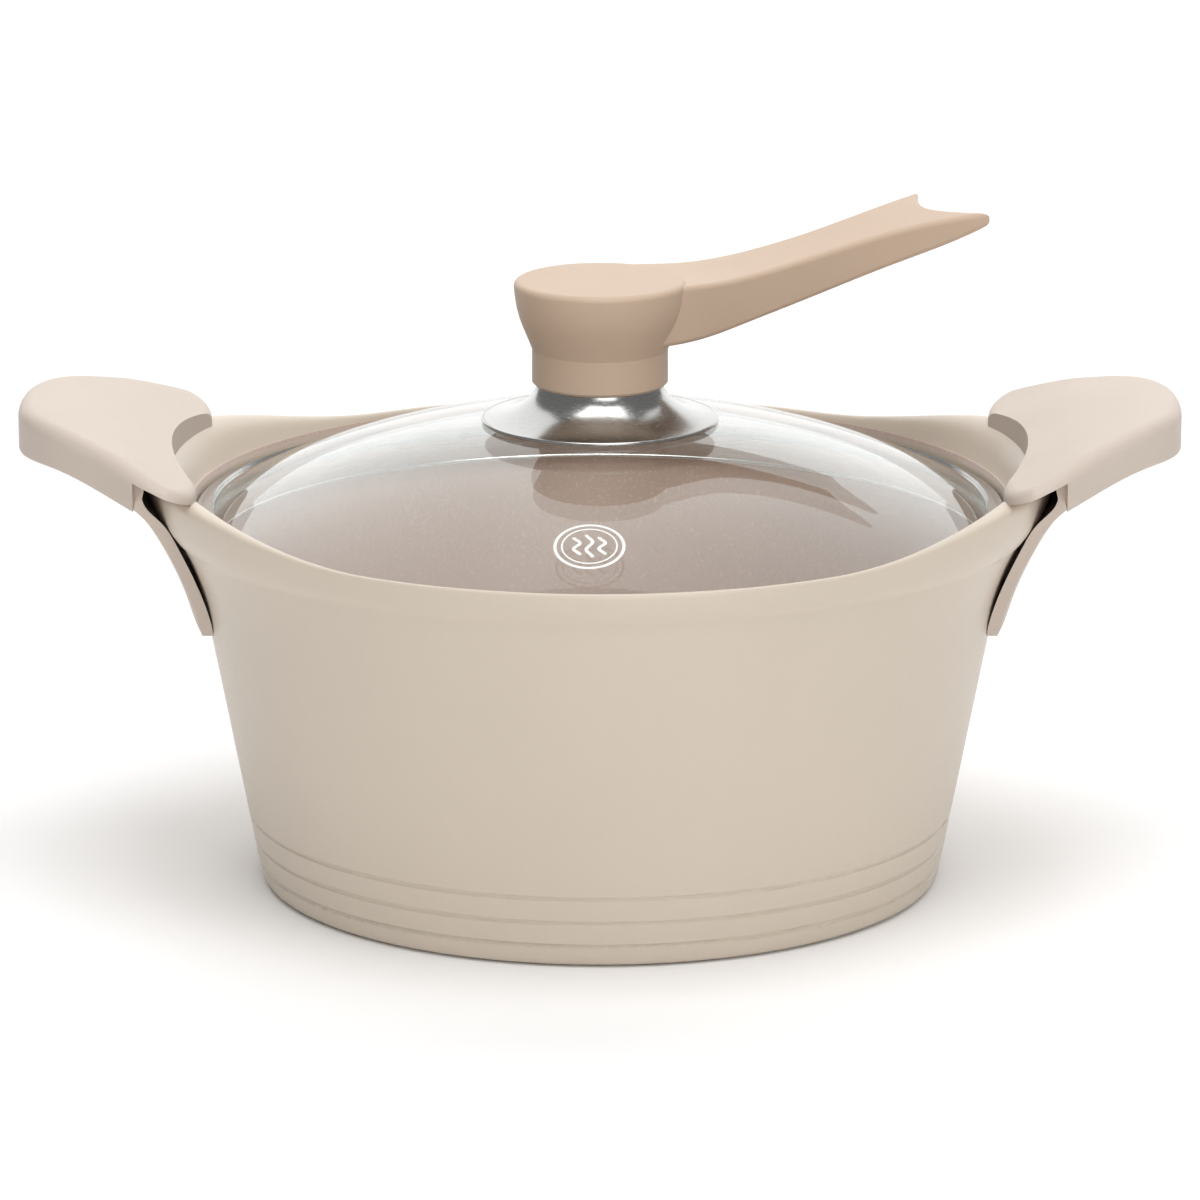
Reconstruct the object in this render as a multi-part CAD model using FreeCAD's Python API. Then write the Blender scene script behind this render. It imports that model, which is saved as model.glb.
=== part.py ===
import FreeCAD, Part
import math
import os

"""Two-handled casserole with a domed glass lid.

Frame: the origin is the centre of the flat underside, +X runs through the two grips and +Z is up.
All sizes are millimetres.
"""

Vector = FreeCAD.Vector

# ---- driving dimensions ----
POT_HEIGHT = 116.0          # underside to the rim plane, away from the ears
BASE_CONE_RADIUS = 100.6    # outer wall cone, extended down to the underside
RIM_RADIUS = 123.0          # outer wall cone at the rim plane
WALL = 3.5                  # cast wall
FLOOR_THICKNESS = 5.5       # cast floor

LEDGE_Z = 106.0             # ledge that the lid stands on
LEDGE_INNER_RADIUS = 116.3
RECESS_RADIUS = 120.4       # lid recess above the ledge
LAND_RADIUS = 120.9         # inner edge of the rim's rolled lip
LAND_Z = 114.5

EAR_REACH = 11.8            # how far an ear's edge stands out past the plain rim
EAR_RISE = 10.8             # how far it rises above the rim plane
EAR_FULL_ANGLE = 16.0       # an ear is at full size within this angle of X
EAR_END_ANGLE = 56.0        # and has gone at this one
FLARE_DEPTH = 34.0          # the ear's flare starts this far below the rim plane
FLARE_AT_RIM = 8.6          # and stands out this far where it passes the rim plane

PLATE_RADIUS = 76.0         # induction plate let into the underside
PLATE_THICKNESS = 1.2

GRIP_INNER_RADIUS = 126.0   # the grip's inner edge is concentric with the lid
GRIP_INNER_ANGLE = 22.2
GRIP_END_X = 171.0
GRIP_TOP_ROUND = 4.0
GRIP_UNDER_ROUND = 1.0
SHELF_THICKNESS = 3.2       # the grip thins to a shelf over the ear
SHELF_END_X = 134.5
BRACKET_TOP_RADIUS = 141.0   # the bracket fills the space under the grip outside this radius
SHELF_SEAT_RADIUS = 131.0   # inside this radius the grip rests on the ear
LUG_HALF_WIDTH = 22.0
LUG_TOP_X = 143.0           # the lug slopes up from the ear to here, then runs level
LUG_END_X = 156.0
LUG_BOTTOM = 15.5           # heights below are above the rim plane
LUG_TOP = 19.5
HANDLE_SCREW_X = 149.0
HANDLE_SCREW_Y = 13.0
HANDLE_SCREW_RADIUS = 2.5
HANDLE_SEAT = 12.3          # screw seat in the bracket
HANDLE_INSERT_LENGTH = 4.6
BOSS_RADIUS = 6.4

LID_RADIUS = 119.7
LID_GAP = 0.3               # the lid's flange stands this far off the ledge
GLASS_THICKNESS = 3.6
GLASS_EDGE_RADIUS = 117.6
GLASS_HOLE_RADIUS = 5.5
CROWN_Z = 139.8
DOME_RADIUS = 256.0
BAND_SHEET = 0.7
BAND_SKIRT_Z = 99.6

SKIRT_LIP_RADIUS = 34.5
SKIRT_TOP_Z = 148.9
SKIRT_TOP_RADIUS = 18.4
SKIRT_SHEET = 0.8
WELL_RADIUS = 16.4
WELL_FLOOR_Z = 141.3

KNOB_NECK_RADIUS = 20.0
KNOB_TOP_RADIUS = 25.3
KNOB_TOP_Z = 180.0
KNOB_SCREW_RADIUS = 3.0
ARM_AZIMUTH = 33.0          # the arm's direction, turned from +X towards +Y
ARM_LENGTH = 127.0
ARM_ROUND = 1.5

SECTIONS_AROUND = 72        # sections of the pot's skin round the axis


# ---- small geometry helpers ----
def spline(points):
    """Smooth curve edge through (x, y, z) points."""
    curve = Part.BSplineCurve()
    curve.interpolate([Vector(*p) for p in points])
    return curve.toShape()


def line(a, b):
    return Part.makeLine(Vector(*a), Vector(*b))


def arc(a, middle, b):
    return Part.Arc(Vector(*a), Vector(*middle), Vector(*b)).toShape()


def in_xz(points):
    return [(x, 0.0, z) for x, z in points]


def face_of(edges):
    return Part.Face(Part.Wire(edges))


def turned(edges):
    """Solid of revolution about Z from edges that close a section in the XZ plane."""
    return face_of(edges).revolve(Vector(0, 0, 0), Vector(0, 0, 1), 360)


def turned_polygon(points):
    corners = in_xz(points)
    edges = [line(a, b) for a, b in zip(corners, corners[1:] + corners[:1])]
    return turned(edges)


def ring(outer, inner, bottom, top):
    tube = Part.makeCylinder(outer, top - bottom, Vector(0, 0, bottom))
    return tube.cut(Part.makeCylinder(inner, top - bottom, Vector(0, 0, bottom)))


def post(x, y, radius, bottom, top):
    return Part.makeCylinder(radius, top - bottom, Vector(x, y, bottom))


def rim(height):
    """Height above the rim plane as Z."""
    return POT_HEIGHT + height


def mirrored(shape):
    return shape.mirror(Vector(0, 0, 0), Vector(1, 0, 0))


# ---- the pot ----
def cone_radius(z):
    return BASE_CONE_RADIUS + (RIM_RADIUS - BASE_CONE_RADIUS) * z / POT_HEIGHT


def ear_strength(angle):
    """1 across an ear, 0 along the plain rim, with a smooth step between."""
    off_axis = abs(math.degrees(math.asin(math.sin(angle))))
    step = (off_axis - EAR_FULL_ANGLE) / (EAR_END_ANGLE - EAR_FULL_ANGLE)
    step = min(1.0, max(0.0, step))
    return 1.0 - step * step * (3.0 - 2.0 * step)


def flare(z):
    depth = max(0.0, z - (POT_HEIGHT - FLARE_DEPTH))
    return FLARE_AT_RIM * (depth / FLARE_DEPTH) ** 2.2


def skin_section(strength):
    """Control points (radius, height) of the outer skin: underside, wall, rolled lip, lid recess."""
    lift = EAR_RISE * strength
    points = [(94.0, 0.0), (97.4, 0.0), (100.6, 0.5), (cone_radius(4.0), 4.0)]
    for z in (9.0, 20.0, 35.0, 50.0, 65.0, 76.0, 84.0, 91.0, 97.0, 102.0, 105.6):
        points.append((cone_radius(z) + strength * flare(z), z))
    lip = [
        # plain radius, plain height, reach at an ear, share of the ear's rise
        (121.1, 107.2, flare(107.2), 0.00),
        (122.2, 108.0, flare(108.0), 0.00),
        (122.9, 109.6, flare(109.6), 0.04),
        (123.2, 112.0, 8.2, 0.18),
        (123.3, 114.6, 10.0, 0.50),
        (123.1, 116.0, EAR_REACH, 0.85),
        (122.3, 116.3, EAR_REACH - 0.4, 1.02),
        (121.6, 116.2, 9.0, 1.05),
        (121.2, 115.8, 6.6, 1.00),
        (121.0, 115.4, 3.6, 0.80),
        (LAND_RADIUS, 115.0, 1.4, 0.40),
        (LAND_RADIUS, LAND_Z, 0.0, 0.00),
    ]
    for radius, z, reach, share in lip:
        points.append((radius + strength * reach, z + lift * share))
    return points


def pot_skin():
    """Closed solid inside the pot's outer skin: a smooth surface round the axis and two flat caps."""
    step = 2 * math.pi / SECTIONS_AROUND
    swell = 3.0 / (2.0 + math.cos(step))
    poles = []
    for i in range(SECTIONS_AROUND):
        angle = i * step
        section = skin_section(ear_strength(angle))
        row = [Vector(r * swell * math.cos(angle), r * swell * math.sin(angle), z) for r, z in section]
        poles.append(row)
    spans = len(poles[0]) - 3
    surface = Part.BSplineSurface()
    surface.buildFromPolesMultsKnots(
        poles,
        [1] * (SECTIONS_AROUND + 1),
        [4] + [1] * (spans - 1) + [4],
        [float(k) for k in range(SECTIONS_AROUND + 1)],
        [float(k) for k in range(spans + 1)],
        True,
        False,
        3,
        3,
    )
    skin = surface.toShape()
    rings = [e for e in skin.Edges if e.isClosed()]
    caps = [Part.Face(Part.Wire([e])) for e in rings]
    shell = Part.Shell([skin] + caps)
    shell.sewShape()
    solid = Part.Solid(shell)
    if solid.Volume < 0:
        solid.reverse()
    return solid


def lug_blank():
    """Cast tenon that the right grip is screwed to."""
    section = [(128, 5.0), (134.5, 6.5), (141.5, LUG_BOTTOM), (LUG_END_X, LUG_BOTTOM),
               (LUG_END_X, LUG_TOP), (LUG_TOP_X, LUG_TOP), (134, 11.2), (129, 10.0)]
    corners = [(x, -LUG_HALF_WIDTH, rim(z)) for x, z in section]
    edges = [line(a, b) for a, b in zip(corners, corners[1:] + corners[:1])]
    return face_of(edges).extrude(Vector(0, 2 * LUG_HALF_WIDTH, 0))


def lug():
    solid = lug_blank()
    for y in (-HANDLE_SCREW_Y, HANDLE_SCREW_Y):
        solid = solid.cut(post(HANDLE_SCREW_X, y, HANDLE_SCREW_RADIUS + 0.4, rim(LUG_BOTTOM - 2), rim(LUG_TOP + 2)))
    return solid


def pot_cavity():
    """The inside: lid recess, ledge, wall and a floor with a round corner."""
    wall_top = (LEDGE_INNER_RADIUS, 103.0)
    wall_upper = (cone_radius(95.0) - WALL, 95.0)
    wall_foot = (cone_radius(15.0) - WALL, 15.0)
    floor_edge = (wall_foot[0] - 11.0, FLOOR_THICKNESS)
    corner = (wall_foot[0] - 3.6, 8.4)
    points = in_xz([(0, FLOOR_THICKNESS), floor_edge, corner, wall_foot, wall_upper, wall_top,
                    (LEDGE_INNER_RADIUS, LEDGE_Z), (RECESS_RADIUS, LEDGE_Z),
                    (RECESS_RADIUS, LAND_Z + 5), (0, LAND_Z + 5)])
    edges = [line(points[0], points[1]), arc(points[1], points[2], points[3])]
    for a, b in zip(points[3:], points[4:]):
        edges.append(line(a, b))
    edges.append(line(points[-1], points[0]))
    return turned(edges)


def pot_body(skin):
    body = skin
    for side in (lug(), mirrored(lug())):
        body = body.fuse(side)
    body = body.cut(pot_cavity())
    body = body.cut(Part.makeCylinder(PLATE_RADIUS, PLATE_THICKNESS))
    for z in (6.6, 13.8, 21.4):
        body = body.cut(Part.makeTorus(cone_radius(z) + 0.35, 0.85, Vector(0, 0, z)))
    return body


def induction_base_plate():
    plate = Part.makeCylinder(PLATE_RADIUS, PLATE_THICKNESS)
    for radius in (24.0, 44.0, 62.0):
        plate = plate.cut(ring(radius + 0.8, radius, 0, 0.3))
    return plate


# ---- the handles, modelled on the right and mirrored ----
def grip_plan():
    """Outline seen from above, with an inner edge that follows the lid and blunt horns."""
    angle = math.radians(GRIP_INNER_ANGLE)
    corner = (GRIP_INNER_RADIUS * math.cos(angle), GRIP_INNER_RADIUS * math.sin(angle))
    outer = [(117.6, 56.0), (120.4, 62.2), (124.9, 65.2), (129.4, 64.0), (134.4, 60.0), (140.4, 53.8),
             (147.0, 47.6), (153.5, 41.4), (160.0, 34.6), (165.4, 27.2), (169.0, 18.6), (170.6, 9.4),
             (GRIP_END_X, 0.0)]
    far_side = [corner] + outer
    near_side = [(x, -y) for x, y in far_side[-2::-1]]
    side = spline([(x, y, POT_HEIGHT) for x, y in far_side + near_side])
    inner = arc((corner[0], -corner[1], POT_HEIGHT), (GRIP_INNER_RADIUS, 0, POT_HEIGHT),
                (corner[0], corner[1], POT_HEIGHT))
    return face_of([side, inner])


GRIP_TOP = [(108, 8.5), (118, 13.5), (129, 18.3), (139, 22.7), (147, 25.2), (158, 27.9), (173, 28.5)]


def grip_side_view():
    """Section along the grip, seen from the front."""
    under = [(173, 14.6), (166, 15.6), (157, 15.2), (150, 13.6), (140, 10.2), (128, 6.4), (108, 0.5)]
    top_edge = spline([(x, -70, rim(z)) for x, z in GRIP_TOP])
    under_edge = spline([(x, -70, rim(z)) for x, z in under])
    end = line((173, -70, rim(28.5)), (173, -70, rim(14.6)))
    inner_end = line((108, -70, rim(0.5)), (108, -70, rim(8.5)))
    return face_of([top_edge, end, under_edge, inner_end]).extrude(Vector(0, 140, 0))


def outline_edges(shape, highest):
    """The longer of the outline's edges round the top or the underside of a slab-like shape."""
    edges = sorted(shape.Edges, key=lambda e: e.Length)[-2:]
    edges.sort(key=lambda e: e.BoundBox.Center.z)
    return [edges[1]] if highest else [edges[0]]


def grip_blank():
    grip = grip_plan().extrude(Vector(0, 0, 50)).common(grip_side_view())
    upper = outline_edges(grip, True)
    lower = outline_edges(grip, False)
    return grip.makeFillet(GRIP_TOP_ROUND, upper).makeFillet(GRIP_UNDER_ROUND, lower)


def shelf_relief():
    """What is taken from under the grip on both sides of the lug, outside the ear, to leave a thin shelf."""
    top = [(x, z) for x, z in GRIP_TOP if x <= 129]
    under = [(x, rim(z - SHELF_THICKNESS)) for x, z in top]
    last = under[-1][1]
    side = spline([(x, -70, z) for x, z in under])
    end = [line((129, -70, last), (SHELF_END_X, -70, last + 1.8)),
           line((SHELF_END_X, -70, last + 1.8), (SHELF_END_X, -70, rim(-5))),
           line((SHELF_END_X, -70, rim(-5)), (108, -70, rim(-5))),
           line((108, -70, rim(-5)), (108, -70, under[0][1]))]
    slab = face_of([side] + end).extrude(Vector(0, 140, 0))
    half = LUG_HALF_WIDTH + 3.0
    slab = slab.cut(Part.makeBox(60, 2 * half, 60, Vector(100, -half, POT_HEIGHT - 10)))
    return slab.cut(Part.makeCylinder(SHELF_SEAT_RADIUS, 2 * POT_HEIGHT))


def handle_grip(skin):
    clearance = 0.2
    pocket = Part.makeBox(LUG_END_X + clearance - LUG_TOP_X, 2 * (LUG_HALF_WIDTH + clearance), LUG_TOP,
                          Vector(LUG_TOP_X, -LUG_HALF_WIDTH - clearance, POT_HEIGHT))
    grip = grip_blank().cut(shelf_relief()).cut(pocket).cut(lug_blank()).cut(skin)
    for y in (-HANDLE_SCREW_Y, HANDLE_SCREW_Y):
        grip = grip.cut(post(HANDLE_SCREW_X, y, 3.6, rim(LUG_TOP), rim(LUG_TOP + HANDLE_INSERT_LENGTH)))
    return grip


def tongue_outline():
    """The bracket's outline seen along X: as wide as the grip above, rounded at the foot."""
    half = [(52.0, 18.0), (49.5, 12.0), (43.0, 4.0), (37.5, -4.0), (34.0, -12.0), (31.5, -21.0), (29.5, -29.0),
            (26.0, -35.2), (19.0, -39.0), (9.0, -40.4), (0.0, -40.6)]
    other = [(-y, z) for y, z in half[-2::-1]]
    side = spline([(100, y, rim(z)) for y, z in half + other])
    top = line((100, -52, rim(18.0)), (100, 52, rim(18.0)))
    return face_of([side, top]).extrude(Vector(70, 0, 0))


def handle_bracket(body, grip):
    """Curved tongue, concentric with the wall, that closes the grip from below."""
    outer = [(158, 14.6), (149, 10.8), (143.3, 6.3), (137, 0.0), (131.4, -8.5), (126.3, -18.5), (122.0, -29.5),
             (120.2, -35.0), (117.0, -41.0)]
    inner = [(115.0, -41.0), (118.4, -29.5), (122.8, -18.5), (127.8, -8.5), (133.2, 0.0), (138.6, 5.6), (140.8, 9.5)]
    edges = [
        spline([(x, 0, rim(z)) for x, z in outer]),
        line((117.0, 0, rim(-41.0)), (115.0, 0, rim(-41.0))),
        spline([(x, 0, rim(z)) for x, z in inner]),
        line((140.8, 0, rim(9.5)), (BRACKET_TOP_RADIUS, 0, rim(LUG_BOTTOM))),
        line((BRACKET_TOP_RADIUS, 0, rim(LUG_BOTTOM)), (158, 0, rim(LUG_BOTTOM))),
        line((158, 0, rim(LUG_BOTTOM)), (158, 0, rim(14.6))),
    ]
    section = face_of(edges)
    section.rotate(Vector(0, 0, 0), Vector(0, 0, 1), -24)
    tongue = section.revolve(Vector(0, 0, 0), Vector(0, 0, 1), 48).common(tongue_outline())
    plan = grip_plan().extrude(Vector(0, 0, 50))
    plan.translate(Vector(0, 0, -10))
    tongue = tongue.cut(Part.makeBox(60, 160, 40, Vector(BRACKET_TOP_RADIUS - 3, -80, rim(-5))).cut(plan))
    for y in (-HANDLE_SCREW_Y, HANDLE_SCREW_Y):
        tongue = tongue.fuse(post(HANDLE_SCREW_X, y, BOSS_RADIUS, rim(HANDLE_SEAT - 4.0), rim(LUG_BOTTOM)))
    tongue = tongue.cut(body).cut(grip)
    for y in (-HANDLE_SCREW_Y, HANDLE_SCREW_Y):
        tongue = tongue.cut(post(HANDLE_SCREW_X, y, HANDLE_SCREW_RADIUS + 0.2, rim(0), rim(LUG_BOTTOM)))
        tongue = tongue.cut(post(HANDLE_SCREW_X, y, 5.0, rim(0), rim(HANDLE_SEAT)))
    return max(tongue.Solids, key=lambda solid: solid.Volume)


def handle_inserts():
    solids = []
    for y in (-HANDLE_SCREW_Y, HANDLE_SCREW_Y):
        body = post(HANDLE_SCREW_X, y, 3.6, rim(LUG_TOP), rim(LUG_TOP + HANDLE_INSERT_LENGTH))
        bore = post(HANDLE_SCREW_X, y, HANDLE_SCREW_RADIUS, rim(LUG_TOP), rim(LUG_TOP + HANDLE_INSERT_LENGTH - 0.5))
        solids.append(body.cut(bore))
    return Part.makeCompound(solids)


def handle_screws():
    solids = []
    for y in (-HANDLE_SCREW_Y, HANDLE_SCREW_Y):
        shank = post(HANDLE_SCREW_X, y, HANDLE_SCREW_RADIUS, rim(HANDLE_SEAT - 0.8), rim(LUG_TOP + 3.9))
        head = post(HANDLE_SCREW_X, y, 4.5, rim(HANDLE_SEAT - 3.8), rim(HANDLE_SEAT - 0.8))
        head = head.makeFillet(0.9, [head.Edges[2]])
        solids.append(cross_slotted(shank.fuse(head).removeSplitter(), HANDLE_SCREW_X, y, rim(HANDLE_SEAT - 3.8)))
    return Part.makeCompound(solids)


def cross_slotted(screw, x, y, head_z):
    """Cuts a cross recess into a screw head that faces down."""
    for wide, deep in ((5.0, 1.0), (1.0, 5.0)):
        slot = Part.makeBox(wide, deep, 1.4, Vector(x - wide / 2, y - deep / 2, head_z - 0.1))
        screw = screw.cut(slot)
    return screw


def handle_washers():
    solids = []
    for y in (-HANDLE_SCREW_Y, HANDLE_SCREW_Y):
        washer = post(HANDLE_SCREW_X, y, 4.4, rim(HANDLE_SEAT - 0.8), rim(HANDLE_SEAT))
        washer = washer.cut(post(HANDLE_SCREW_X, y, HANDLE_SCREW_RADIUS, rim(0), rim(20)))
        split = Part.makeBox(4.0, 0.5, 2.0, Vector(HANDLE_SCREW_X + 1.0, y - 0.25, rim(HANDLE_SEAT - 1.2)))
        solids.append(washer.cut(split))
    return Part.makeCompound(solids)


# ---- the lid ----
DOME_CENTRE_Z = CROWN_Z - DOME_RADIUS


def dome_z(radius, sphere=DOME_RADIUS):
    return DOME_CENTRE_Z + math.sqrt(sphere ** 2 - radius ** 2)


def lid_glass():
    inside = DOME_RADIUS - GLASS_THICKNESS
    hole, edge = GLASS_HOLE_RADIUS, GLASS_EDGE_RADIUS
    middle = (hole + edge) / 2
    top = in_xz([(hole, dome_z(hole)), (middle, dome_z(middle)), (edge, dome_z(edge))])
    under = in_xz([(edge, dome_z(edge, inside)), (middle, dome_z(middle, inside)), (hole, dome_z(hole, inside))])
    return turned([arc(*top), line(top[2], under[0]), arc(*under), line(under[2], top[0])])


def lid_rim_band():
    """Rolled channel round the glass edge with a short skirt that drops inside the ledge."""
    sheet = BAND_SHEET
    foot = LEDGE_Z + LID_GAP
    lip = 114.4
    lip_z = dome_z(lip) + 0.02
    edge_z = dome_z(GLASS_EDGE_RADIUS) + 0.02
    skirt = LEDGE_INNER_RADIUS - 1.1
    section = [
        (lip, lip_z), (GLASS_EDGE_RADIUS, edge_z), (GLASS_EDGE_RADIUS, foot + sheet),
        (skirt - sheet, foot + sheet), (skirt - sheet, BAND_SKIRT_Z), (skirt, BAND_SKIRT_Z),
        (skirt, foot), (LID_RADIUS, foot), (LID_RADIUS, edge_z - 0.2), (LID_RADIUS - 0.6, edge_z + 0.6),
        (GLASS_EDGE_RADIUS + 0.2, edge_z + 0.95), (lip + 0.3, lip_z + 0.75),
    ]
    band = turned_polygon(section)
    bead = Part.makeTorus(skirt - sheet / 2, 0.7, Vector(0, 0, BAND_SKIRT_Z))
    return band.fuse(bead)


def knob_skirt():
    """Pressed sheet: flared trumpet outside, a well for the knob's boss inside."""
    sheet = SKIRT_SHEET
    outside = [(SKIRT_LIP_RADIUS, 138.9), (28.4, 140.2), (23.0, 142.9), (19.8, 146.0),
               (SKIRT_TOP_RADIUS, SKIRT_TOP_Z)]
    inside = [(SKIRT_TOP_RADIUS - sheet, SKIRT_TOP_Z - sheet), (19.0, 145.4), (22.4, 142.1), (28.1, 139.3),
              (SKIRT_LIP_RADIUS, 138.0)]
    top = in_xz([(SKIRT_TOP_RADIUS, SKIRT_TOP_Z), (WELL_RADIUS, SKIRT_TOP_Z), (WELL_RADIUS, WELL_FLOOR_Z + sheet),
                 (GLASS_HOLE_RADIUS, WELL_FLOOR_Z + sheet), (GLASS_HOLE_RADIUS, WELL_FLOOR_Z),
                 (WELL_RADIUS + sheet, WELL_FLOOR_Z), (WELL_RADIUS + sheet, SKIRT_TOP_Z - sheet),
                 (SKIRT_TOP_RADIUS - sheet, SKIRT_TOP_Z - sheet)])
    edges = [spline(in_xz(outside))]
    edges += [line(a, b) for a, b in zip(top, top[1:])]
    edges += [spline(in_xz(inside)), line((SKIRT_LIP_RADIUS, 0, 138.0), (SKIRT_LIP_RADIUS, 0, 138.9))]
    bead = Part.makeTorus(SKIRT_LIP_RADIUS - 0.1, 0.62, Vector(0, 0, 138.45))
    return turned(edges).fuse(bead)


def knob_stem():
    """Neck, flared head and the boss that sits in the skirt's well."""
    neck = KNOB_NECK_RADIUS
    boss = WELL_RADIUS - 0.1
    seat = SKIRT_TOP_Z + 0.1
    waist = 159.5
    shoulder = (KNOB_TOP_RADIUS, KNOB_TOP_Z - 1.8)
    top_edge = (KNOB_TOP_RADIUS - 1.8, KNOB_TOP_Z)
    profile = spline(in_xz([(neck, waist), (21.9, 164.3), (23.9, 169.6), (25.0, 175.0), shoulder]))
    edge = arc((shoulder[0], 0, shoulder[1]), (KNOB_TOP_RADIUS - 0.5, 0, KNOB_TOP_Z - 0.5),
               (top_edge[0], 0, top_edge[1]))
    straight = in_xz([top_edge, (0, KNOB_TOP_Z), (0, WELL_FLOOR_Z + 0.9), (boss, WELL_FLOOR_Z + 0.9),
                      (boss, seat), (neck - 0.8, seat), (neck, seat + 0.8), (neck, waist)])
    edges = [profile, edge] + [line(a, b) for a, b in zip(straight, straight[1:])]
    return turned(edges)


def knob_arm():
    """Arm that leaves the knob's head and ends in a notched fishtail. Built along +X, then turned."""
    half = [(6, 18.6), (16, 19.2), (27, 17.4), (40, 14.2), (60, 11.8), (80, 11.3), (100, 12.9), (116, 16.0),
            (ARM_LENGTH, 18.6)]
    notch = [(ARM_LENGTH, 18.6), (120.4, 8.0), (118.2, 0.0), (120.4, -8.0), (ARM_LENGTH, -18.6)]
    base = 150.0
    far_side = spline([(u, v, base) for u, v in half])
    near_side = spline([(u, -v, base) for u, v in half[::-1]])
    end = spline([(u, v, base) for u, v in notch])
    root = line((6, -18.6, base), (6, 18.6, base))
    plan = face_of([far_side, end, near_side, root]).extrude(Vector(0, 0, 60))
    top = [(4, 63.4), (24, 62.9), (38, 62.4), (50, 63.0), (64, 64.6), (80, 67.0), (100, 70.2), (116, 72.1),
           (130, 73.2)]
    under = [(130, 70.0), (122, 66.6), (96, 59.0), (75, 54.0), (54, 49.8), (34, 46.9), (18, 46.0),
             (4, 46.0)]
    top_edge = spline([(u, -30, rim(z)) for u, z in top])
    under_edge = spline([(u, -30, rim(z)) for u, z in under])
    tip = line((130, -30, rim(73.2)), (130, -30, rim(70.0)))
    back = line((4, -30, rim(46.0)), (4, -30, rim(63.4)))
    side_view = face_of([top_edge, tip, under_edge, back]).extrude(Vector(0, 60, 0))
    arm = plan.common(side_view)
    outline = [e for e in arm.Edges if e.BoundBox.XMax > 100 and e.Length > 30]
    return arm.makeFillet(ARM_ROUND, outline)


def knob_handle():
    solid = knob_stem().fuse(knob_arm()).removeSplitter()
    solid = solid.cut(Part.makeCylinder(5.5, 14.0, Vector(0, 0, WELL_FLOOR_Z + 0.9)))
    solid.rotate(Vector(0, 0, 0), Vector(0, 0, 1), ARM_AZIMUTH)
    return solid


def knob_insert():
    bottom = WELL_FLOOR_Z + 0.9
    return ring(5.5, KNOB_SCREW_RADIUS, bottom, bottom + 14.0)


UNDER_GLASS_Z = CROWN_Z - GLASS_THICKNESS
GASKET_BOTTOM_Z = UNDER_GLASS_Z - 1.6


def upper_gasket():
    gasket = ring(15.0, GLASS_HOLE_RADIUS, CROWN_Z - 1.2, WELL_FLOOR_Z)
    return gasket.cut(Part.makeSphere(DOME_RADIUS, Vector(0, 0, DOME_CENTRE_Z)))


def lower_gasket():
    gasket = ring(13.0, KNOB_SCREW_RADIUS, GASKET_BOTTOM_Z, UNDER_GLASS_Z + 0.5)
    return gasket.common(Part.makeSphere(DOME_RADIUS - GLASS_THICKNESS, Vector(0, 0, DOME_CENTRE_Z)))


def knob_washer():
    """Shallow steel cup under the lower gasket."""
    cup = ring(14.2, KNOB_SCREW_RADIUS, GASKET_BOTTOM_Z - 1.0, GASKET_BOTTOM_Z)
    wall = ring(14.2, 13.2, GASKET_BOTTOM_Z - 1.0, GASKET_BOTTOM_Z + 0.7)
    return cup.fuse(wall).removeSplitter()


def knob_screw():
    head_top = GASKET_BOTTOM_Z - 1.0
    shank = Part.makeCylinder(KNOB_SCREW_RADIUS, 20.0, Vector(0, 0, head_top))
    head = Part.makeCylinder(6.0, 3.2, Vector(0, 0, head_top - 3.2))
    head = head.makeFillet(1.1, [head.Edges[2]])
    return cross_slotted(shank.fuse(head).removeSplitter(), 0, 0, head_top - 3.2)


# ---- all nodes ----
def build():
    skin = pot_skin()
    body = pot_body(skin)
    grip = handle_grip(skin)
    right = {
        "handle_grip": grip,
        "handle_bracket": handle_bracket(body, grip),
        "handle_inserts": handle_inserts(),
        "handle_screws": handle_screws(),
        "handle_washers": handle_washers(),
    }
    nodes = {
        "pot_body": body,
        "induction_base_plate": induction_base_plate(),
        "lid_glass": lid_glass(),
        "lid_rim_band": lid_rim_band(),
        "knob_skirt": knob_skirt(),
        "knob_handle": knob_handle(),
        "knob_insert": knob_insert(),
        "knob_screw": knob_screw(),
        "knob_washer": knob_washer(),
        "upper_gasket": upper_gasket(),
        "lower_gasket": lower_gasket(),
    }
    for name, shape in right.items():
        nodes["right_" + name] = shape
        nodes["left_" + name] = mirrored(shape)
    return nodes


os.makedirs("parts", exist_ok=True)
for name, shape in build().items():
    shape.exportStep("parts/" + name + ".step")
    box = shape.BoundBox
    print(name, shape.isValid(), len(shape.Solids), round(shape.Volume), [round(v, 1) for v in
          (box.XMin, box.XMax, box.YMin, box.YMax, box.ZMin, box.ZMax)])
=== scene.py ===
import math

import bpy
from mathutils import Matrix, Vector


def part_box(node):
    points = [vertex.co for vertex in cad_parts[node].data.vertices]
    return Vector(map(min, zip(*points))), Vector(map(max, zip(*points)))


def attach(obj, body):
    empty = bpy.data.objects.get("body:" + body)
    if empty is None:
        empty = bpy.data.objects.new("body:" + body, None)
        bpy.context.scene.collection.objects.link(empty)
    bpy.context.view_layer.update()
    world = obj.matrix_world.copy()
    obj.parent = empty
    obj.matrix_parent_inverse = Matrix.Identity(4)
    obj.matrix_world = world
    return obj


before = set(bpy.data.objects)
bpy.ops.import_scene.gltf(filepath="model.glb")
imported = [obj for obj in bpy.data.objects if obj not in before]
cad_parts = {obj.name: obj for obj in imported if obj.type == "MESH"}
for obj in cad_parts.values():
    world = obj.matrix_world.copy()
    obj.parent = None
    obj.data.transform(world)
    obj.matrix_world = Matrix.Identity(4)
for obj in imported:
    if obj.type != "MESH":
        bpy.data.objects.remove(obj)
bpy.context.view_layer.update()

# ---- sizes in metres ----
DOME_RADIUS = 0.256                 # outer face of the glass
DOME_HOLE_RADIUS = 0.0055           # the glass is highest at the edge of its hole
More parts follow.
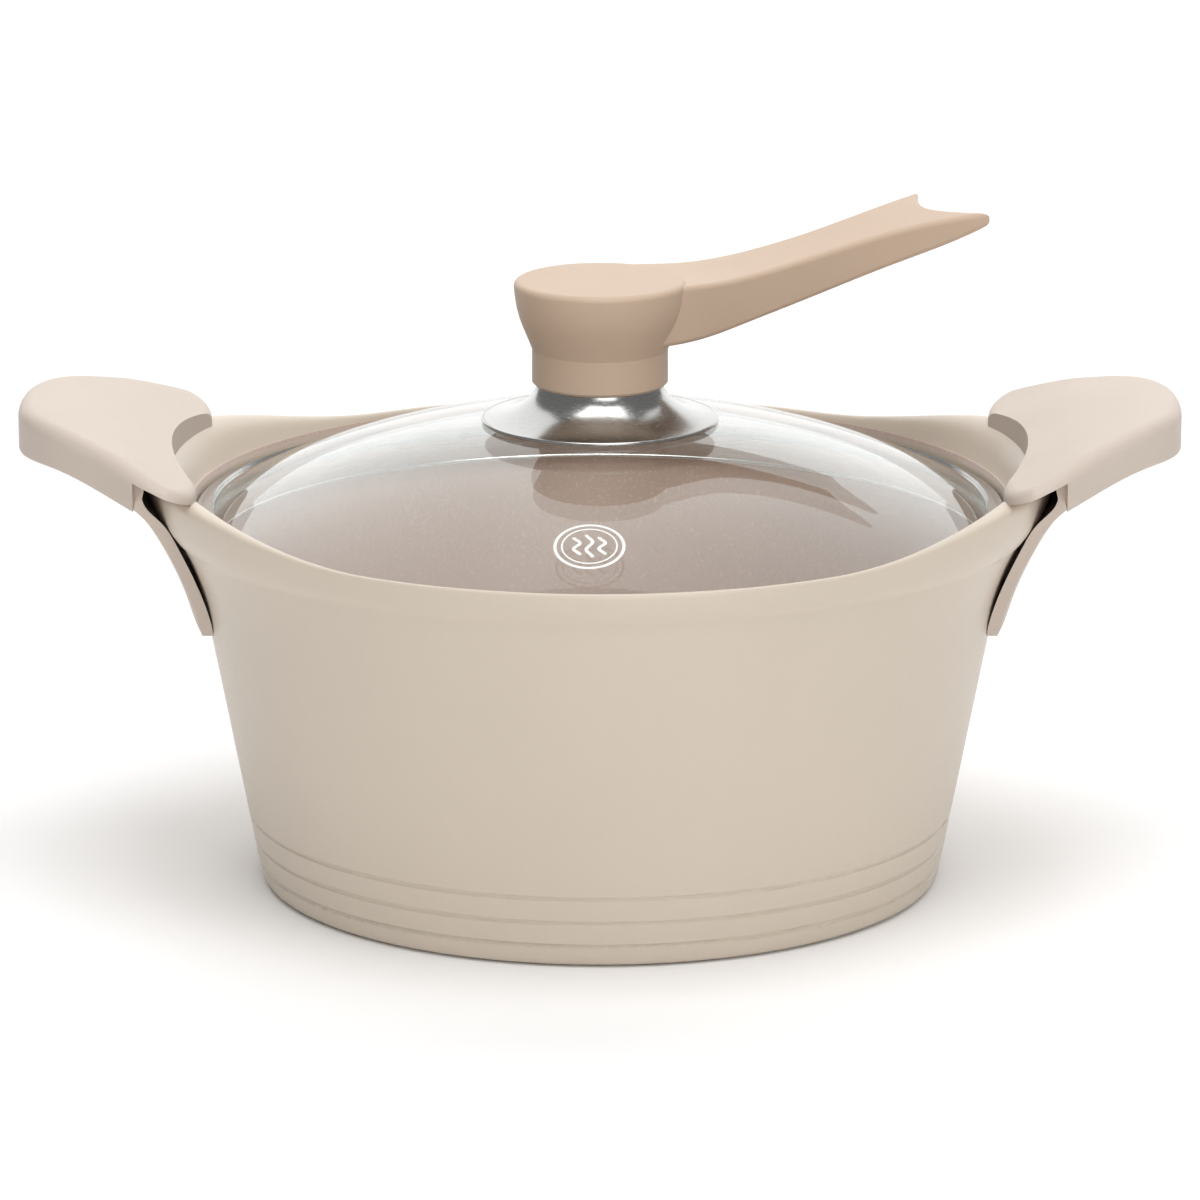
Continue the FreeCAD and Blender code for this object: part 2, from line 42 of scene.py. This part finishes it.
DOME_CENTRE_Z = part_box("lid_glass")[1].z - math.sqrt(DOME_RADIUS ** 2 - DOME_HOLE_RADIUS ** 2)
INK_BELOW = -0.000025               # the ink is fired a little way into the glass
INK_ABOVE = 0.000025
MARK_PLACE = (-0.003, -0.092)
MARK_RADIUS = 0.0098
RING_STEPS = 96
WISP_STEPS = 32
WALL_MIDDLE_AT_BASE = 0.0988        # radius halfway through the pot's wall, and how it grows with height
WALL_MIDDLE_SLOPE = 0.193
BASE_TOP = (0.003, 0.0035)          # the lining starts between these heights
FLOOR_HALF = 6.0

# ---- camera and lights ----
CAMERA_AIM = (0.0, 0.0, 0.083)
CAMERA_DISTANCE = 2.37
CAMERA_ELEVATION = math.radians(14.5)
LENS_MM = 240.0
SENSOR_MM = 36.0
ROOM_LIGHT = 0.28
LIGHT_AIM = (0.0, 0.0, 0.08)
SOFTBOXES = (
    # name, place, size, watts
    ("top_box", (0.1, -0.5, 1.95), (1.5, 1.4), 26.0),
    ("front_box", (0.6, -2.8, 1.1), (1.8, 1.4), 25.0),
    ("back_box", (0.1, 2.3, 1.55), (4.6, 3.8), 74.0),
)

# ---- colours ----
BEIGE = (0.620, 0.535, 0.440)
LINING = (0.560, 0.425, 0.365)
GRIP = (0.590, 0.502, 0.432)
# the grip's colour made a little darker: painted shade for the bracket that sits under the grip
BRACKET_PAINTED_SHADE = (0.570, 0.484, 0.416)
KNOB = (0.560, 0.418, 0.308)
SCREW_STEEL = (0.62, 0.62, 0.62)
BASE_STEEL = (0.60, 0.59, 0.57)
BAND_STEEL = (0.68, 0.68, 0.67)
SKIRT_STEEL = (0.42, 0.42, 0.41)
BRASS = (0.78, 0.60, 0.30)
SILICONE = (0.80, 0.78, 0.74)
INK = (0.86, 0.86, 0.84)
GLASS_MIRROR = (0.97, 0.985, 0.98)
GLASS_TINT = (0.975, 0.99, 0.983)
FLOOR_PAINT = (0.97, 0.97, 0.97)


# ---- material helpers ----
class Shader:
    """A material with one Principled shader and short ways to add nodes to it."""

    def __init__(self, name, colour, roughness, **settings):
        self.material = bpy.data.materials.new(name)
        self.material.use_nodes = True
        self.material.diffuse_color = (*colour, 1.0)
        self.tree = self.material.node_tree
        self.principled = self.tree.nodes["Principled BSDF"]
        self.principled.inputs["Base Color"].default_value = (*colour, 1.0)
        self.principled.inputs["Roughness"].default_value = roughness
        for socket, value in settings.items():
            self.principled.inputs[socket.replace("_", " ")].default_value = value
        self.coordinates = self.tree.nodes.new("ShaderNodeTexCoord").outputs["Object"]

    def put(self, socket, value):
        """Links another node's output to a socket, or gives the socket a fixed value."""
        if isinstance(value, bpy.types.NodeSocket):
            self.tree.links.new(value, socket)
        else:
            socket.default_value = value

    def node(self, kind, inputs=None, **settings):
        made = self.tree.nodes.new(kind)
        for key, value in settings.items():
            setattr(made, key, value)
        for socket, value in (inputs or {}).items():
            self.put(made.inputs[socket], value)
        return made

    def maths(self, operation, a, b=0.0):
        return self.node("ShaderNodeMath", {0: a, 1: b}, operation=operation).outputs[0]

    def position(self):
        """The point's x, y and z, and its distance from the Z axis."""
        x, y, z = self.node("ShaderNodeSeparateXYZ", {0: self.coordinates}).outputs
        squares = self.maths("ADD", self.maths("MULTIPLY", x, x), self.maths("MULTIPLY", y, y))
        return x, y, z, self.maths("SQRT", squares)

    def noise(self, scale, detail=3.0, vector=None):
        inputs = {"Vector": vector or self.coordinates, "Scale": scale, "Detail": detail, "Roughness": 0.55}
        return self.node("ShaderNodeTexNoise", inputs).outputs["Fac"]

    def spread(self, value, low, high, to_low=0.0, to_high=1.0):
        inputs = {"Value": value, "From Min": low, "From Max": high, "To Min": to_low, "To Max": to_high}
        return self.node("ShaderNodeMapRange", inputs).outputs["Result"]

    def mix(self, factor, a, b):
        """A colour between a and b, each a colour or another node's output."""
        made = self.tree.nodes.new("ShaderNodeMix")
        made.data_type = "RGBA"
        self.put(made.inputs[0], factor)
        for index, colour in ((6, a), (7, b)):
            self.put(made.inputs[index], (*colour, 1.0) if isinstance(colour, tuple) else colour)
        return made.outputs[2]

    def drive(self, socket, value):
        self.tree.links.new(value, self.principled.inputs[socket])

    def bump(self, height, distance, strength):
        made = self.node("ShaderNodeBump", {"Height": height, "Distance": distance, "Strength": strength})
        self.drive("Normal", made.outputs["Normal"])


def tinted(colour, factor):
    return tuple(min(1.0, channel * factor) for channel in colour)


# ---- materials ----
def pot_coating():
    """Satin ceramic coat outside, speckled non-stick lining inside."""
    shader = Shader("pot_coating", BEIGE, 0.42, Coat_Weight=0.12, Coat_Roughness=0.25)
    _, _, z, radius = shader.position()
    wall_middle = shader.maths("ADD", shader.maths("MULTIPLY", z, WALL_MIDDLE_SLOPE), WALL_MIDDLE_AT_BASE)
    inside = shader.spread(shader.maths("SUBTRACT", wall_middle, radius), 0.0, 0.0004)
    lining = shader.maths("MULTIPLY", inside, shader.spread(z, *BASE_TOP))
    cloud = shader.spread(shader.noise(14.0), 0.35, 0.65)
    grain = shader.spread(shader.noise(900.0, 2.0), 0.35, 0.65)
    outside = shader.mix(cloud, tinted(BEIGE, 0.985), tinted(BEIGE, 1.015))
    outside = shader.mix(shader.maths("MULTIPLY", grain, 0.10), outside, tinted(BEIGE, 0.92))
    speck = shader.spread(shader.noise(1500.0, 1.0), 0.62, 0.66)
    inner = shader.mix(cloud, tinted(LINING, 0.97), tinted(LINING, 1.03))
    inner = shader.mix(shader.maths("MULTIPLY", speck, 0.45), inner, tinted(LINING, 1.6))
    shader.drive("Base Color", shader.mix(lining, outside, inner))
    outer_gloss = shader.maths("MULTIPLY", shader.maths("SUBTRACT", 1.0, lining),
                               shader.spread(grain, 0.0, 1.0, 0.38, 0.46))
    inner_gloss = shader.maths("MULTIPLY", lining, shader.spread(grain, 0.0, 1.0, 0.32, 0.42))
    shader.drive("Roughness", shader.maths("ADD", inner_gloss, outer_gloss))
    shader.bump(shader.noise(620.0, 2.0), 0.00004, 0.5)
    return shader.material


def moulding(name, colour):
    """Soft-touch moulded handle: fine spark-eroded grain and faint flow clouds."""
    roughness = 0.5
    shader = Shader(name, colour, roughness, Specular_IOR_Level=0.45)
    cloud = shader.spread(shader.noise(22.0), 0.35, 0.65)
    grain = shader.spread(shader.noise(1400.0, 2.0), 0.35, 0.65)
    base = shader.mix(cloud, tinted(colour, 0.98), tinted(colour, 1.02))
    shader.drive("Base Color", shader.mix(shader.maths("MULTIPLY", grain, 0.12), base, tinted(colour, 0.90)))
    shader.drive("Roughness", shader.spread(grain, 0.0, 1.0, roughness - 0.04, roughness + 0.06))
    shader.bump(grain, 0.00003, 0.5)
    return shader.material


def turned_steel(name, colour, roughness, depth=0.00001):
    """Steel with fine lines round the Z axis."""
    shader = Shader(name, colour, roughness, Metallic=1.0)
    x, y, z, radius = shader.position()
    along = shader.maths("MULTIPLY", shader.maths("ARCTAN2", y, x), 0.004)
    spun = shader.node("ShaderNodeCombineXYZ", {0: radius, 1: along, 2: z}).outputs[0]
    lines = shader.spread(shader.noise(2600.0, 2.0, vector=spun), 0.3, 0.7)
    shader.drive("Base Color", shader.mix(lines, tinted(colour, 0.93), tinted(colour, 1.05)))
    shader.drive("Roughness", shader.spread(lines, 0.0, 1.0, roughness - 0.05, roughness + 0.06))
    shader.bump(lines, depth, 0.4)
    return shader.material


def small_metal(name, colour):
    """Screws, washers and inserts, with a little wear."""
    roughness = 0.30
    shader = Shader(name, colour, roughness, Metallic=1.0)
    wear = shader.spread(shader.noise(900.0, 3.0), 0.3, 0.7)
    shader.drive("Base Color", shader.mix(wear, tinted(colour, 0.88), tinted(colour, 1.06)))
    shader.drive("Roughness", shader.spread(wear, 0.0, 1.0, roughness - 0.05, roughness + 0.10))
    return shader.material


def silicone():
    shader = Shader("silicone", SILICONE, 0.6)
    dust = shader.spread(shader.noise(1200.0, 2.0), 0.3, 0.7)
    shader.drive("Base Color", shader.mix(dust, tinted(SILICONE, 0.94), tinted(SILICONE, 1.03)))
    return shader.material


def glass():
    """Clear glass: an open pane mixed with a mirror that grows towards a glancing view, the same from both faces."""
    shader = Shader("lid_glass", GLASS_MIRROR, 0.02, Metallic=1.0)
    shader.drive("Roughness", shader.spread(shader.noise(30.0, 4.0), 0.4, 0.75, 0.012, 0.05))
    clear = shader.node("ShaderNodeBsdfTransparent", {"Color": (*GLASS_TINT, 1.0)})
    facing = shader.node("ShaderNodeLayerWeight", {"Blend": 0.5}).outputs["Facing"]
    glancing = shader.maths("MULTIPLY", shader.maths("POWER", facing, 5.0), 0.93)
    mirror = shader.maths("ADD", glancing, 0.045)
    mixed = shader.node("ShaderNodeMixShader", {0: mirror, 1: clear.outputs[0], 2: shader.principled.outputs[0]})
    shader.tree.links.new(mixed.outputs[0], shader.tree.nodes["Material Output"].inputs["Surface"])
    return shader.material


def print_ink():
    """Fired white print on the glass."""
    shader = Shader("print_ink", INK, 0.45)
    stipple = shader.spread(shader.noise(2500.0, 1.0), 0.35, 0.65)
    shader.drive("Base Color", shader.mix(stipple, tinted(INK, 0.93), tinted(INK, 1.05)))
    return shader.material


# ---- studio ----
def add(name, data):
    item = bpy.data.objects.new(name, data)
    bpy.context.scene.collection.objects.link(item)
    return item


def camera():
    """Long lens, about two and a half metres away and a little above the worktop."""
    data = bpy.data.cameras.new("camera")
    data.lens = LENS_MM
    data.sensor_width = SENSOR_MM
    data.clip_end = 50.0
    item = add("camera", data)
    back = Vector((0.0, -math.cos(CAMERA_ELEVATION), math.sin(CAMERA_ELEVATION)))
    item.location = Vector(CAMERA_AIM) + CAMERA_DISTANCE * back
    item.rotation_euler = (math.pi / 2 - CAMERA_ELEVATION, 0.0, 0.0)
    bpy.context.scene.camera = item


def softbox(name, place, size, power):
    data = bpy.data.lights.new(name, "AREA")
    data.shape = "RECTANGLE"
    data.size, data.size_y = size
    data.energy = power
    item = add(name, data)
    item.location = place
    item.rotation_euler = (Vector(LIGHT_AIM) - Vector(place)).to_track_quat("-Z", "Y").to_euler()


def studio():
    world = bpy.data.worlds.new("studio")
    world.use_nodes = True
    background = world.node_tree.nodes["Background"]
    background.inputs["Color"].default_value = (1.0, 1.0, 1.0, 1.0)
    background.inputs["Strength"].default_value = ROOM_LIGHT
    bpy.context.scene.world = world
    bpy.context.scene.view_settings.view_transform = "Standard"
    for box in SOFTBOXES:
        softbox(*box)
    mesh = bpy.data.meshes.new("floor")
    corners = [(x * FLOOR_HALF, y * FLOOR_HALF, 0) for x, y in ((-1, -1), (1, -1), (1, 1), (-1, 1))]
    mesh.from_pydata(corners, [], [(0, 1, 2, 3)])
    mesh.materials.append(Shader("studio_floor", FLOOR_PAINT, 0.9, Specular_IOR_Level=0.1).material)
    add("floor", mesh)


# ---- the mark printed on the glass ----
def on_dome(x, y, lift):
    return (x, y, DOME_CENTRE_Z + math.sqrt(DOME_RADIUS ** 2 - x * x - y * y) + lift)


def printed_line(path, width, closed):
    """Vertices and faces of a thin raised line of ink that follows a path over the dome."""
    vertices, faces = [], []
    count = len(path)
    for index, (x, y) in enumerate(path):
        before = path[index - 1] if closed or index else path[index]
        after = path[(index + 1) % count] if closed or index < count - 1 else path[index]
        along = Vector((after[0] - before[0], after[1] - before[1])).normalized() * (width / 2)
        left, right = (x - along.y, y + along.x), (x + along.y, y - along.x)
        vertices += [on_dome(*left, INK_BELOW), on_dome(*left, INK_ABOVE)]
        vertices += [on_dome(*right, INK_ABOVE), on_dome(*right, INK_BELOW)]
    for index in range(count if closed else count - 1):
        a, b = 4 * index, 4 * ((index + 1) % count)
        faces += [(a + k, a + (k + 1) % 4, b + (k + 1) % 4, b + k) for k in range(4)]
    if not closed:
        faces += [(3, 2, 1, 0), tuple(4 * (count - 1) + k for k in range(4))]
    return vertices, faces


def mark_lines():
    """(path, width, closed) of each line of the mark: two rings round three rising wisps of steam."""
    x0, y0 = MARK_PLACE
    lines = []
    for radius, width in ((MARK_RADIUS, 0.0009), (MARK_RADIUS * 0.80, 0.0005)):
        angles = [math.tau * k / RING_STEPS for k in range(RING_STEPS)]
        lines.append(([(x0 + radius * math.cos(a), y0 + radius * math.sin(a)) for a in angles], width, True))
    sway = 0.0009
    for offset, reach in ((-0.0036, 0.0040), (0.0, 0.0052), (0.0036, 0.0040)):
        steps = [2 * k / WISP_STEPS - 1 for k in range(WISP_STEPS + 1)]
        wisp = [(x0 + offset + sway * math.sin(math.pi * 1.5 * t), y0 + reach * t) for t in steps]
        lines.append((wisp, 0.0010, False))
    return lines


def glass_mark():
    vertices, faces = [], []
    for path, width, closed in mark_lines():
        first = len(vertices)
        line_vertices, line_faces = printed_line(path, width, closed)
        vertices += line_vertices
        faces += [tuple(first + index for index in face) for face in line_faces]
    mesh = bpy.data.meshes.new("glass_mark")
    mesh.from_pydata(vertices, [], faces)
    mesh.materials.append(print_ink())
    mark = add("glass_mark", mesh)
    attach(mark, "lid")


# ---- finish on the CAD nodes ----
def dress_all():
    grip = moulding("grip_moulding", GRIP)
    # the bracket gets the grip's moulding with painted shade, a little darker than the grip
    bracket = moulding("bracket_moulding", BRACKET_PAINTED_SHADE)
    screw = small_metal("screw_steel", SCREW_STEEL)
    brass = small_metal("brass", BRASS)
    rubber = silicone()
    finishes = {
        "pot_body": pot_coating(),
        "induction_base_plate": turned_steel("base_steel", BASE_STEEL, 0.30),
        "lid_glass": glass(),
        "lid_rim_band": turned_steel("band_steel", BAND_STEEL, 0.22),
        "knob_skirt": turned_steel("polished_steel", SKIRT_STEEL, 0.22, depth=0.000004),
        "knob_handle": moulding("knob_moulding", KNOB),
        "knob_insert": brass,
        "knob_screw": screw,
        "knob_washer": screw,
        "upper_gasket": rubber,
        "lower_gasket": rubber,
    }
    for side in ("left", "right"):
        finishes[side + "_handle_grip"] = grip
        finishes[side + "_handle_bracket"] = bracket
        finishes[side + "_handle_inserts"] = brass
        finishes[side + "_handle_screws"] = screw
        finishes[side + "_handle_washers"] = screw
    for node, material in finishes.items():
        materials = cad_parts[node].data.materials
        materials.clear()
        materials.append(material)


camera()
studio()
dress_all()
glass_mark()
